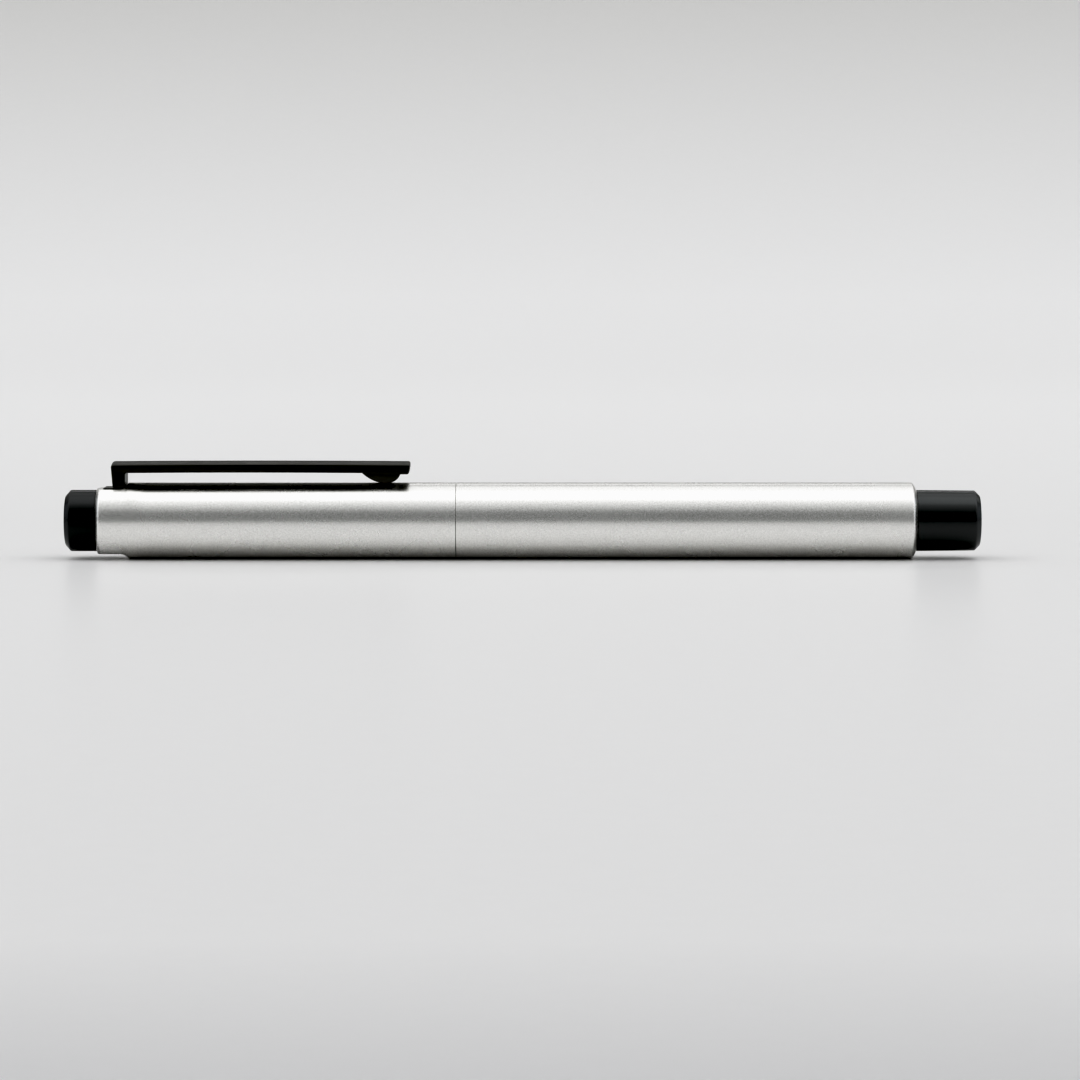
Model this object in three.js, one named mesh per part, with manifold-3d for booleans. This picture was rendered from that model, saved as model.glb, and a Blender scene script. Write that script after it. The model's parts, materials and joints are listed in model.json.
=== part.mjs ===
// Technical pen with a push-on cap, lying on its side with the clip up.
// Millimetres. +X runs along the pen to the rear of the barrel, +Z is up.
// The origin is on the surface the pen lies on, under the middle of its length.
// Helpers take stations along the pen's axis as X and heights above that axis.

import * as THREE from 'three';
import { mergeVertices } from 'three/addons/utils/BufferGeometryUtils.js';
import Module from 'manifold-3d';

const wasm = await Module();
wasm.setup();

// Driving dimensions
const LENGTH = 140;
const TUBE_R = 5.83;
const CAP_END_X = -65.25;
const SEAM_X = -10.2;
const SEAM_GAP = 0.06;
const BARREL_END_X = 60.25;

// Play between faces that lie against each other, and round loosely fitted pieces
const FIT = 0.02;
const EASY_FIT = 0.12;

// How far a cutting body runs past what it cuts
const CUT_MARGIN = 2;

// Corner of a tube's outer end: distances from the end face, and radii
const TUBE_CORNER = [[0, 4.63], [0.08, 4.96], [0.23, 5.25], [0.8, TUBE_R]];

// Bores of the cap, from its mouth to its closed end
const CAP_BORE_R = 4.9;
const CAP_BORE_X = -39.5;
const SEAL_BORE_R = 4.1;
const SEAL_BORE_X = -60.7;
const END_BORE_R = 3.4;

// Milled flats, top and bottom
const FLAT_Z = 4.93;
const FLAT_END_X = -61.45;
const FLAT_FILLET_R = 1.185;

// End pieces
const FINIAL_R = 4.7;
const FINIAL_SPIGOT_R = 3.3;
const FINIAL_SPIGOT = 2;
const KNOB_R = 4.68;
const KNOB_END_R = 4.6;
const KNOB_SPIGOT_R = 3.6;
const KNOB_SPIGOT_X = 53.5;
const KNOB_HOLLOW_R = 2.4;
const KNOB_HOLLOW_X = 62;
const KNOB_GROOVE_R = 3.15;
const KNOB_GROOVE = [58, 59];
const KNOB_RING_R = [3.2, 3.7];
const END_CHAMFER = 0.8;
const END_FACE_R = 3.8;

// Clip, its base plate and its screws
const CLIP_WIDTH = 5.4;
const CLIP_POST_X = -62.58;
const CLIP_TOP_X = -62.88;
const CLIP_INNER_X = -60.68;
const CLIP_END_X = -17.18;
const CLIP_TOP_Z = 9.2;
const CLIP_ENDS_DROP = 0.09; // the arm bows up between its ends
const CLIP_CROWN = 0.45;
const CLIP_ARM_Z = 7.45;
const CLIP_TIP_Z = 7.24;
const CLIP_TIP_SLANT = 0.2;
const CLIP_POST_FOOT_R = 0.35;
const CLIP_INNER_R = 0.3;
const CLIP_OUTER_R = 0.45;
const CLIP_TIP_R = 0.25;
const FOOT_Z = 5.87;
const FOOT_START_X = -24.48;
const FOOT_LOW_X = -20.93;
const FOOT_END_X = -18.63;
const FOOT_FRONT_BEND = [[0.9, 0.8], [-1.4, 0]]; // curve handles: from the start, and from the lowest point
const FOOT_REAR_BEND = [[1.1, 0], [-0.35, 0.5]]; // from the lowest point, and from the end
const PLATE_END_X = -64;
const PLATE_THICK = 0.18;
const PLATE_WIDTH = 4.8;
const SCREW_X = -61.7;
const SCREW_Y = 1.4;
const SCREW_R = 0.38;
const SCREW_HEAD_R = 0.8;
const SCREW_HEAD_Z = 3.55;
const SCREW_HEAD = 0.6;
const SCREW_END_Z = 6.3;
const SCREW_HOLE_END_Z = 6.6;

// Sealing cup in the cap and its spring
const SEAL_CUP_R = 3.9;
const SEAL_CUP_BORE_R = 3.1;
const SEAL_CUP_X = -58;
const SEAL_CUP_MOUTH_X = -41;
const SEAL_CUP_BORE_X = -56.5;
const NIB_SEAL_R = [2.85, 3.05];
const NIB_SEAL_X = [-42.5, -41.2];
const SPRING_R = 3.75;
const SPRING_WIRE_R = 0.17;
const SPRING_TURNS = 3;
const SPRING_STEPS = 54;
const SPRING_END_GAP = 0.25;

// Barrel
const BARREL_BORE_R = 4.7;
const KNOB_BORE_R = 3.75;
const KNOB_BORE_X = 54;

// Grip section and the ring that the cap is pushed over
const SECTION_R = 4.55;
const SECTION_NOSE_R = 3.7;
const SECTION_NOSE_X = -38;
const SECTION_NOSE_CHAMFER = [0.5, 0.2];
const SECTION_TAPER_X = -16;
const SECTION_REAR_X = -2;
const SECTION_BORE_R = 3.5;
const SECTION_BORE_X = -11.5;
const SECTION_GROOVE = 0.45;
const SECTION_GROOVE_WIDTH = 1;
const FEED_BORE_R = 2.6;
const RING_GROOVE_X = -12.7;
const SECTION_RING_R = [4.15, 4.84];
const SECTION_RING_WIDTH = 0.9;

// Ink feed and cartridge
const FEED_X = -30.8;
const FEED_FINS_X = -29.6;
const FEED_FINS_END_X = -14;
const FEED_SHOULDER_X = -12;
const FEED_END_X = -5;
const FEED_FIN_R = 2.4;
const FEED_CORE_R = 1.5;
const FEED_PIPE_R = 1;
const FEED_PITCH = 1.6;
const FEED_TIP = [0.4, 0.7];
const CARTRIDGE_X = -11;
const CARTRIDGE_END_X = 44;
const CARTRIDGE_R = 3.3;
const CARTRIDGE_BORE_R = 2.9;
const CARTRIDGE_END_R = 2.5;
const CARTRIDGE_END_WALL = 1;
const CARTRIDGE_CORNER = 0.5;
const CARTRIDGE_SEAL_X = [-10.9, -9.4];
const CARTRIDGE_SEAL_R = [1.1, 2.85];

// Nib
const HOLDER_TIP_X = -47.5;
const HOLDER_TIP_R = 1.4;
const HOLDER_CONE = [[0.3, 1.55], [8.3, 3.2]]; // distances from the tip, and radii
const HOLDER_COLLAR_R = 3.5;
const HOLDER_REAR_X = -31.4;
const CHAMBER_R = 1.8;
const CHAMBER_X = -45;
const NIB_SEAT_R = 0.75;
const NIB_BODY_X = -50;
const NIB_BODY_END_X = -45.1;
const NIB_BODY_TIP_R = 0.5;
const NIB_BODY_R = 0.7;
const NIB_BODY_TAPER = 0.6;
const NIB_TUBE_R = 0.25;
const NIB_TIP_X = -54;
const NIB_TUBE_END_X = -46;
const NIB_BORE_R = 0.14;
const NIB_PLUG_X = [-33, -31.6];
const NIB_PLUG_R = [0.5, 1.75];
const WEIGHT_X = [-43.5, -35.5];
const WEIGHT_R = 1.6;
const WEIGHT_CHAMFER = 0.4;
const WIRE_R = 0.07;
const WIRE_REACH = 0.15; // how far the wire stands out of the drawing tube

// Flat sides that stand for a full turn, on outer, inner, feed, small and wire surfaces
const OUTER_SIDES = 32;
const INNER_SIDES = 24;
const FEED_SIDES = 16;
const SMALL_SIDES = 12;
const WIRE_SIDES = 8;

// Straight pieces that stand for one curve of an extruded outline
const CURVE_STEPS = 6;
const CROWN_STEPS = 8;

// Points closer than this are one point
const WELD = 1e-5;

function material(color, roughness, metalness) {
  return new THREE.MeshStandardMaterial({ color, roughness, metalness });
}

const satinAluminium = () => material(0xcfcfcc, 0.38, 1);
const blackAnodised = () => material(0x0b0b0c, 0.42, 0.6);
const blackCoating = () => material(0x08080a, 0.36, 0.4);
const blackPlastic = () => material(0x121213, 0.5, 0);
const rubber = () => material(0x101010, 0.8, 0);
const steel = () => material(0xb8bcc0, 0.25, 1);
const brass = () => material(0xb08d45, 0.3, 1);
const whitePlastic = () => material(0xe9e7e0, 0.45, 0);
const clearPlastic = () => material(0xdfe4e6, 0.15, 0);

// Body turned about the pen's axis from [x, r] points. A flat side is centred
// at the bottom, at distance r from the axis, so the pen rests on a flat.
function turned(profile, sides) {
  const scale = 1 / Math.cos(Math.PI / sides);
  const points = profile.map(([x, r]) => new THREE.Vector2(r * scale, x));
  const geometry = new THREE.LatheGeometry(points, sides, Math.PI / sides);
  return geometry.rotateZ(-Math.PI / 2);
}

function ring([x0, x1], [innerR, outerR], sides) {
  return turned([[x0, innerR], [x0, outerR], [x1, outerR], [x1, innerR], [x0, innerR]], sides);
}

// Prism: a shape drawn in X and Z, with its width centred across the pen
function sidePrism(shape, width) {
  const settings = { depth: width, bevelEnabled: false, curveSegments: CURVE_STEPS };
  const geometry = new THREE.ExtrudeGeometry(shape, settings);
  return geometry.translate(0, 0, -width / 2).rotateX(Math.PI / 2);
}

// Upright cylinder for a screw or its hole
function upright(x, y, r, z0, z1) {
  const geometry = new THREE.CylinderGeometry(r, r, z1 - z0, SMALL_SIDES);
  return geometry.rotateX(Math.PI / 2).translate(x, y, (z0 + z1) / 2);
}

function toSolid(geometry) {
  const bare = geometry.clone();
  bare.deleteAttribute('normal');
  bare.deleteAttribute('uv');
  const merged = mergeVertices(bare, WELD);
  const index = merged.index.array;
  const triangles = [];
  for (let i = 0; i < index.length; i += 3) {
    const [a, b, c] = index.slice(i, i + 3);
    if (a !== b && b !== c && c !== a) triangles.push(a, b, c);
  }
  return new wasm.Manifold(new wasm.Mesh({
    numProp: 3,
    vertProperties: new Float32Array(merged.attributes.position.array),
    triVerts: new Uint32Array(triangles),
  }));
}

function toGeometry(solid) {
  const mesh = solid.getMesh();
  const geometry = new THREE.BufferGeometry();
  geometry.setAttribute('position', new THREE.BufferAttribute(new Float32Array(mesh.vertProperties), 3));
  geometry.setIndex(new THREE.BufferAttribute(new Uint32Array(mesh.triVerts), 1));
  geometry.computeVertexNormals();
  return geometry;
}

function cut(base, cutters) {
  let solid = toSolid(base);
  for (const cutter of cutters) {
    solid = solid.subtract(toSolid(cutter));
  }
  return toGeometry(solid);
}

// Outer corner of a tube, walking from the end face outwards along +X or -X
function tubeCorner(endX, direction) {
  return TUBE_CORNER.map(([depth, r]) => [endX + direction * depth, r]);
}

// Cutter for one milled flat, with the quarter-round run-out of the milling cutter
function flatCutter() {
  const shape = new THREE.Shape();
  const top = TUBE_R + CUT_MARGIN;
  shape.moveTo(CAP_END_X - CUT_MARGIN, top);
  shape.lineTo(CAP_END_X - CUT_MARGIN, FLAT_Z);
  shape.lineTo(FLAT_END_X, FLAT_Z);
  shape.absarc(FLAT_END_X, FLAT_Z + FLAT_FILLET_R, FLAT_FILLET_R, -Math.PI / 2, 0, false);
  shape.lineTo(FLAT_END_X + FLAT_FILLET_R, top);
  shape.closePath();
  return sidePrism(shape, 2 * (TUBE_R + CUT_MARGIN));
}

function capTube() {
  const mouthX = SEAM_X - SEAM_GAP / 2;
  const tube = turned([
    [CAP_END_X, END_BORE_R],
    ...tubeCorner(CAP_END_X, 1),
    [mouthX, TUBE_R],
    [mouthX, CAP_BORE_R],
    [CAP_BORE_X, CAP_BORE_R],
    [CAP_BORE_X, SEAL_BORE_R],
    [SEAL_BORE_X, SEAL_BORE_R],
    [SEAL_BORE_X, END_BORE_R],
    [CAP_END_X, END_BORE_R],
  ], OUTER_SIDES);
  const cutters = [flatCutter(), flatCutter().rotateX(Math.PI)];
  for (const side of [-1, 1]) {
    const y = side * SCREW_Y;
    cutters.push(upright(SCREW_X, y, SCREW_R + EASY_FIT, 0, TUBE_R));
    cutters.push(upright(SCREW_X, y, SCREW_HEAD_R + EASY_FIT, 0, SCREW_HEAD_Z + FIT));
  }
  return cut(tube, cutters);
}

function capFinial() {
  const endX = -LENGTH / 2;
  const shoulderX = CAP_END_X - FIT;
  return turned([
    [endX, 0],
    [endX, END_FACE_R],
    [endX + END_CHAMFER, FINIAL_R],
    [shoulderX, FINIAL_R],
    [shoulderX, FINIAL_SPIGOT_R],
    [CAP_END_X + FINIAL_SPIGOT, FINIAL_SPIGOT_R],
    [CAP_END_X + FINIAL_SPIGOT, 0],
  ], OUTER_SIDES);
}

// Thin plate on the upper flat, with its rear edge following the flat's run-out
function clipBasePlate() {
  const z0 = FLAT_Z + FIT;
  const z1 = z0 + PLATE_THICK;
  const r = FLAT_FILLET_R - FIT;
  const centreZ = FLAT_Z + FLAT_FILLET_R;
  const angle = Math.asin((z1 - centreZ) / r);
  const shape = new THREE.Shape();
  shape.moveTo(PLATE_END_X, z0);
  shape.lineTo(FLAT_END_X, z0);
  shape.absarc(FLAT_END_X, centreZ, r, -Math.PI / 2, angle, false);
  shape.lineTo(PLATE_END_X, z1);
  shape.closePath();
  const holes = [-1, 1].map((side) => upright(SCREW_X, side * SCREW_Y, SCREW_R + EASY_FIT, 0, TUBE_R));
  return cut(sidePrism(shape, PLATE_WIDTH), holes);
}

// Curve to [x, z]: its handles are given in X from its start and its end, and in Z from the sole
function bendTo(shape, startX, [start, end], [x, z]) {
  shape.bezierCurveTo(startX + start[0], FOOT_Z + start[1], x + end[0], FOOT_Z + end[1], x, z);
}

// Side outline of the clip: post, arm and the foot that touches the cap
function clipOutline() {
  const z0 = FLAT_Z + PLATE_THICK + 2 * FIT;
  const topZ = CLIP_TOP_Z - CLIP_ENDS_DROP;
  const middleX = (CLIP_TOP_X + CLIP_END_X) / 2;
  const shape = new THREE.Shape();
  shape.moveTo(CLIP_POST_X, z0);
  shape.lineTo(CLIP_INNER_X - CLIP_POST_FOOT_R, z0);
  const footX = CLIP_INNER_X - CLIP_POST_FOOT_R;
  shape.absarc(footX, z0 + CLIP_POST_FOOT_R, CLIP_POST_FOOT_R, -Math.PI / 2, 0, false);
  shape.lineTo(CLIP_INNER_X, CLIP_ARM_Z - CLIP_INNER_R);
  const armX = CLIP_INNER_X + CLIP_INNER_R;
  shape.absarc(armX, CLIP_ARM_Z - CLIP_INNER_R, CLIP_INNER_R, Math.PI, Math.PI / 2, true);
  shape.quadraticCurveTo(middleX, CLIP_ARM_Z + 2 * CLIP_ENDS_DROP, FOOT_START_X, CLIP_ARM_Z);
  bendTo(shape, FOOT_START_X, FOOT_FRONT_BEND, [FOOT_LOW_X, FOOT_Z]);
  bendTo(shape, FOOT_LOW_X, FOOT_REAR_BEND, [FOOT_END_X, CLIP_TIP_Z]);
  shape.lineTo(CLIP_END_X - CLIP_TIP_SLANT - CLIP_TIP_R, CLIP_TIP_Z);
  shape.lineTo(CLIP_END_X - CLIP_TIP_SLANT, CLIP_TIP_Z + CLIP_TIP_R);
  shape.lineTo(CLIP_END_X, topZ - CLIP_TIP_R);
  shape.lineTo(CLIP_END_X - CLIP_TIP_R, topZ);
  shape.quadraticCurveTo(middleX, CLIP_TOP_Z + CLIP_ENDS_DROP, CLIP_TOP_X + CLIP_OUTER_R, topZ);
  shape.absarc(CLIP_TOP_X + CLIP_OUTER_R, topZ - CLIP_OUTER_R, CLIP_OUTER_R, Math.PI / 2, Math.PI, false);
  shape.closePath();
  return shape;
}

// The arm's top is crowned across its width
function clip() {
  const half = CLIP_WIDTH / 2;
  const crownR = (half * half + CLIP_CROWN * CLIP_CROWN) / (2 * CLIP_CROWN);
  const angle = Math.asin(half / crownR);
  const section = new THREE.Shape();
  section.moveTo(-half, 0);
  section.lineTo(half, 0);
  section.lineTo(half, CLIP_TOP_Z - CLIP_CROWN);
  section.absarc(0, CLIP_TOP_Z - crownR, crownR, Math.PI / 2 - angle, Math.PI / 2 + angle, false);
  section.closePath();
  const length = CLIP_END_X - CLIP_TOP_X + 2 * CUT_MARGIN;
  const settings = { depth: length, bevelEnabled: false, curveSegments: CROWN_STEPS };
  const crown = new THREE.ExtrudeGeometry(section, settings)
    .rotateX(Math.PI / 2)
    .rotateZ(Math.PI / 2)
    .translate(CLIP_TOP_X - CUT_MARGIN, 0, 0);
  let solid = toSolid(sidePrism(clipOutline(), CLIP_WIDTH)).intersect(toSolid(crown));
  for (const side of [-1, 1]) {
    const hole = upright(SCREW_X, side * SCREW_Y, SCREW_R + EASY_FIT, 0, SCREW_HOLE_END_Z);
    solid = solid.subtract(toSolid(hole));
  }
  return toGeometry(solid);
}

function clipScrew(side) {
  const y = side * SCREW_Y;
  const head = upright(SCREW_X, y, SCREW_HEAD_R, SCREW_HEAD_Z - SCREW_HEAD, SCREW_HEAD_Z);
  const shank = upright(SCREW_X, y, SCREW_R, SCREW_HEAD_Z - SCREW_HEAD / 2, SCREW_END_Z);
  return toGeometry(toSolid(head).add(toSolid(shank)));
}

function innerCap() {
  return turned([
    [SEAL_CUP_X, 0],
    [SEAL_CUP_X, SEAL_CUP_R],
    [SEAL_CUP_MOUTH_X, SEAL_CUP_R],
    [SEAL_CUP_MOUTH_X, SEAL_CUP_BORE_R],
    [SEAL_CUP_BORE_X, SEAL_CUP_BORE_R],
    [SEAL_CUP_BORE_X, 0],
  ], INNER_SIDES);
}

// Coil spring between the cap's inner shoulder and the inner cap
class Helix extends THREE.Curve {
  constructor(x0, x1, r, turns) {
    super();
    Object.assign(this, { x0, x1, r, turns });
  }

  getPoint(t, target = new THREE.Vector3()) {
    const angle = 2 * Math.PI * this.turns * t;
    return target.set(
      this.x0 + (this.x1 - this.x0) * t,
      this.r * Math.cos(angle),
      this.r * Math.sin(angle),
    );
  }
}

function sealSpring() {
  const wire = new THREE.Shape().absarc(0, 0, SPRING_WIRE_R, 0, 2 * Math.PI, false);
  const startX = SEAL_BORE_X + SPRING_END_GAP;
  const path = new Helix(startX, SEAL_CUP_X - SPRING_END_GAP, SPRING_R, SPRING_TURNS);
  return new THREE.ExtrudeGeometry(wire, {
    steps: SPRING_STEPS,
    curveSegments: CURVE_STEPS,
    bevelEnabled: false,
    extrudePath: path,
  });
}

function barrelTube() {
  const mouthX = SEAM_X + SEAM_GAP / 2;
  return turned([
    [mouthX, BARREL_BORE_R],
    [mouthX, TUBE_R],
    ...tubeCorner(BARREL_END_X, -1).reverse(),
    [BARREL_END_X, KNOB_BORE_R],
    [KNOB_BORE_X, KNOB_BORE_R],
    [KNOB_BORE_X, BARREL_BORE_R],
    [mouthX, BARREL_BORE_R],
  ], OUTER_SIDES);
}

// Turned knob with a hollow spigot; a ring groove is cut in the spigot
function rearKnob() {
  const shoulderX = BARREL_END_X + FIT;
  const endX = LENGTH / 2;
  return turned([
    [KNOB_SPIGOT_X, KNOB_HOLLOW_R],
    [KNOB_SPIGOT_X, KNOB_SPIGOT_R],
    [KNOB_GROOVE[0], KNOB_SPIGOT_R],
    [KNOB_GROOVE[0], KNOB_GROOVE_R],
    [KNOB_GROOVE[1], KNOB_GROOVE_R],
    [KNOB_GROOVE[1], KNOB_SPIGOT_R],
    [shoulderX, KNOB_SPIGOT_R],
    [shoulderX, KNOB_R],
    [endX - END_CHAMFER, KNOB_END_R],
    [endX, END_FACE_R],
    [endX, 0],
    [KNOB_HOLLOW_X, 0],
    [KNOB_HOLLOW_X, KNOB_HOLLOW_R],
    [KNOB_SPIGOT_X, KNOB_HOLLOW_R],
  ], OUTER_SIDES);
}

function rearKnobRing() {
  const [start, end] = KNOB_GROOVE;
  return ring([start + FIT, end - FIT], KNOB_RING_R, INNER_SIDES);
}

function gripSection() {
  const [noseLength, noseDrop] = SECTION_NOSE_CHAMFER;
  const grooveR = SECTION_R - SECTION_GROOVE;
  const grooveStart = RING_GROOVE_X - SECTION_GROOVE_WIDTH / 2;
  const grooveEnd = RING_GROOVE_X + SECTION_GROOVE_WIDTH / 2;
  return turned([
    [SECTION_NOSE_X, FEED_BORE_R],
    [SECTION_NOSE_X, SECTION_NOSE_R - noseDrop],
    [SECTION_NOSE_X + noseLength, SECTION_NOSE_R],
    [SECTION_TAPER_X, SECTION_R],
    [grooveStart, SECTION_R],
    [grooveStart, grooveR],
    [grooveEnd, grooveR],
    [grooveEnd, SECTION_R],
    [SECTION_REAR_X, SECTION_R],
    [SECTION_REAR_X, SECTION_BORE_R],
    [SECTION_BORE_X, SECTION_BORE_R],
    [SECTION_BORE_X, FEED_BORE_R],
    [SECTION_NOSE_X, FEED_BORE_R],
  ], OUTER_SIDES);
}

function sectionRing() {
  const half = SECTION_RING_WIDTH / 2;
  return ring([RING_GROOVE_X - half, RING_GROOVE_X + half], SECTION_RING_R, OUTER_SIDES);
}

// Finned feed: the fins hold ink that the warming cartridge pushes out
function inkFeed() {
  const [tipLength, tipR] = FEED_TIP;
  const profile = [[FEED_X, 0], [FEED_X, FEED_FIN_R]];
  for (let x = FEED_FINS_X; x < FEED_FINS_END_X; x += FEED_PITCH) {
    profile.push([x, FEED_FIN_R], [x, FEED_CORE_R]);
    profile.push([x + FEED_PITCH / 2, FEED_CORE_R], [x + FEED_PITCH / 2, FEED_FIN_R]);
  }
  profile.push([FEED_SHOULDER_X, FEED_FIN_R], [FEED_SHOULDER_X, FEED_PIPE_R]);
  profile.push([FEED_END_X - tipLength, FEED_PIPE_R], [FEED_END_X, tipR], [FEED_END_X, 0]);
  return turned(profile, FEED_SIDES);
}

function inkCartridge() {
  const wallX = CARTRIDGE_END_X - CARTRIDGE_END_WALL;
  return turned([
    [CARTRIDGE_X, CARTRIDGE_BORE_R],
    [CARTRIDGE_X, CARTRIDGE_R],
    [wallX, CARTRIDGE_R],
    [CARTRIDGE_END_X, CARTRIDGE_END_R],
    [CARTRIDGE_END_X, 0],
    [wallX, 0],
    [wallX, CARTRIDGE_BORE_R - CARTRIDGE_CORNER],
    [wallX - CARTRIDGE_CORNER, CARTRIDGE_BORE_R],
    [CARTRIDGE_X, CARTRIDGE_BORE_R],
  ], INNER_SIDES);
}

function nibHolder() {
  const cone = HOLDER_CONE.map(([distance, r]) => [HOLDER_TIP_X + distance, r]);
  const collarX = cone[cone.length - 1][0];
  const seatX = SECTION_NOSE_X - FIT;
  const spigotR = FEED_BORE_R - EASY_FIT;
  return turned([
    [HOLDER_TIP_X, NIB_SEAT_R],
    [HOLDER_TIP_X, HOLDER_TIP_R],
    ...cone,
    [collarX, HOLDER_COLLAR_R],
    [seatX, HOLDER_COLLAR_R],
    [seatX, spigotR],
    [HOLDER_REAR_X, spigotR],
    [HOLDER_REAR_X, CHAMBER_R],
    [CHAMBER_X, CHAMBER_R],
    [CHAMBER_X, NIB_SEAT_R],
    [HOLDER_TIP_X, NIB_SEAT_R],
  ], INNER_SIDES);
}

function nibBody() {
  const boreR = NIB_TUBE_R + FIT;
  return turned([
    [NIB_BODY_X, boreR],
    [NIB_BODY_X, NIB_BODY_TIP_R],
    [NIB_BODY_X + NIB_BODY_TAPER, NIB_BODY_R],
    [NIB_BODY_END_X, NIB_BODY_R],
    [NIB_BODY_END_X, boreR],
    [NIB_BODY_X, boreR],
  ], SMALL_SIDES);
}

function nibTube() {
  return ring([NIB_TIP_X, NIB_TUBE_END_X], [NIB_BORE_R, NIB_TUBE_R], SMALL_SIDES);
}

function dropWeight() {
  const [start, end] = WEIGHT_X;
  const faceR = WEIGHT_R - WEIGHT_CHAMFER;
  return turned([
    [start, 0],
    [start, faceR],
    [start + WEIGHT_CHAMFER, WEIGHT_R],
    [end - WEIGHT_CHAMFER, WEIGHT_R],
    [end, faceR],
    [end, 0],
  ], INNER_SIDES);
}

function cleaningWire() {
  const tipX = NIB_TIP_X - WIRE_REACH;
  const endX = WEIGHT_X[0] - FIT;
  return turned([[tipX, 0], [tipX, WIRE_R], [endX, WIRE_R], [endX, 0]], WIRE_SIDES);
}

function part(name, geometry, look) {
  const mesh = new THREE.Mesh(geometry, look);
  mesh.name = name;
  return mesh;
}

function group(...meshes) {
  const result = new THREE.Group();
  result.add(...meshes);
  return result;
}

const cap = group(
  part('cap_tube', capTube(), satinAluminium()),
  part('cap_finial', capFinial(), blackAnodised()),
  part('clip_base_plate', clipBasePlate(), blackCoating()),
  part('clip', clip(), blackCoating()),
  part('clip_screw_left', clipScrew(-1), steel()),
  part('clip_screw_right', clipScrew(1), steel()),
  part('inner_cap', innerCap(), whitePlastic()),
  part('nib_seal', ring(NIB_SEAL_X, NIB_SEAL_R, INNER_SIDES), rubber()),
  part('seal_spring', sealSpring(), steel()),
);

const barrel = group(
  part('barrel_tube', barrelTube(), satinAluminium()),
  part('rear_knob', rearKnob(), blackAnodised()),
  part('rear_knob_ring', rearKnobRing(), rubber()),
);

const front = group(
  part('grip_section', gripSection(), blackPlastic()),
  part('section_o_ring', sectionRing(), rubber()),
  part('ink_feed', inkFeed(), whitePlastic()),
  part('ink_cartridge', inkCartridge(), clearPlastic()),
  part('cartridge_seal', ring(CARTRIDGE_SEAL_X, CARTRIDGE_SEAL_R, INNER_SIDES), rubber()),
  part('nib_holder', nibHolder(), blackPlastic()),
  part('nib_body', nibBody(), steel()),
  part('nib_tube', nibTube(), steel()),
  part('nib_plug', ring(NIB_PLUG_X, NIB_PLUG_R, SMALL_SIDES), whitePlastic()),
  part('drop_weight', dropWeight(), brass()),
  part('cleaning_wire', cleaningWire(), steel()),
);

const pen = new THREE.Group();
pen.add(cap, barrel, front);
pen.position.z = TUBE_R;

export default pen;
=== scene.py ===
"""Technical pen lying on a pale sweep: the visible pieces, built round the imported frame.

Outlines are in millimetres in the frame's own axes, with heights and radii taken from the pen's axis.
Everything is turned into metres when its mesh is made.
"""

import math

import bmesh
import bpy
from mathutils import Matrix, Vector
from mathutils.geometry import tessellate_polygon
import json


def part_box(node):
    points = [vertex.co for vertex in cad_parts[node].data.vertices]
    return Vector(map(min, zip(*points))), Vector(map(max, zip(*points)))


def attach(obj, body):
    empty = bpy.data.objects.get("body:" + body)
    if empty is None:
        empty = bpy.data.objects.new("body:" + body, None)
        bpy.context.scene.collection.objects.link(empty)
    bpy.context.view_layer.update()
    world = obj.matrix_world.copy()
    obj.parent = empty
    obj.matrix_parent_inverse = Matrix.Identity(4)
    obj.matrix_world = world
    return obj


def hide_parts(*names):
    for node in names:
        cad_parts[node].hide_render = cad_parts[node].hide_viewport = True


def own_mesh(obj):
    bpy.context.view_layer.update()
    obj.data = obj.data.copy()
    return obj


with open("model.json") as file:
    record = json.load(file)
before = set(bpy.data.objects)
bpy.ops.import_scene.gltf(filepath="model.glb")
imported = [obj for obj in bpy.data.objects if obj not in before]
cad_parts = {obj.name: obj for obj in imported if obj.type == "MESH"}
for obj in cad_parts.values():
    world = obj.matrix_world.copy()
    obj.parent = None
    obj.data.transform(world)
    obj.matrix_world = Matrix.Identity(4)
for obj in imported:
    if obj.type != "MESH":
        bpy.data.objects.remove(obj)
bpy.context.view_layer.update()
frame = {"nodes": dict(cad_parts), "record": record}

MM = 0.001
SEGMENTS = 160
FLAT_STEPS = 12
PLAIN_TOP_HALF = math.radians(14)
ROUND_STEPS = 5
CURVE_STEPS = 14
NO_FLAT = 1000.0
TINY = 1e-6
NEARLY_STRAIGHT = math.radians(89)
ROUND_SHARE = 0.48
MERGE_DISTANCE = 1e-7
EDGE_TOO_SHORT = 1e-8
SHARP_DEGREES = 35

barrel_low, barrel_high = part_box("barrel_tube")
AXIS_Z = (barrel_low[2] + barrel_high[2]) / 2 / MM

SLOT_OF_NODE = {row["node"]: row["material_slot"] for row in frame["record"]["subparts"]}
BODY_OF_NODE = {
    node: body for body, nodes in frame["record"]["behaviour"]["bodies"].items() for node in nodes
}


def span(node):
    """First and last station of a turned node along the pen, and its outer radius, in mm."""
    low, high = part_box(node)
    return low[0] / MM, high[0] / MM, (high[1] - low[1]) / 2 / MM


def heights(node):
    """Lowest and highest point of a node above the pen's axis, in mm."""
    low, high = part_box(node)
    return low[2] / MM - AXIS_Z, high[2] / MM - AXIS_Z


# ---------------------------------------------------------------- outlines

def corner(before, at, after, radius):
    """Points of the round that replaces one corner of an outline."""
    to_before = before - at
    to_after = after - at
    half = to_before.angle(to_after) / 2
    if radius <= 0 or half > NEARLY_STRAIGHT:
        return [at]
    reach = min(radius / math.tan(half), ROUND_SHARE * to_before.length, ROUND_SHARE * to_after.length)
    to_before.normalize()
    to_after.normalize()
    middle = at + (to_before + to_after).normalized() * reach / math.cos(half)
    start = at + to_before * reach - middle
    end = at + to_after * reach - middle
    turn = start.angle(end)
    points = []
    for step in range(ROUND_STEPS + 1):
        t = step / ROUND_STEPS
        weight_a = math.sin((1 - t) * turn) / math.sin(turn)
        weight_b = math.sin(t * turn) / math.sin(turn)
        points.append(middle + start * weight_a + end * weight_b)
    return points


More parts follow.
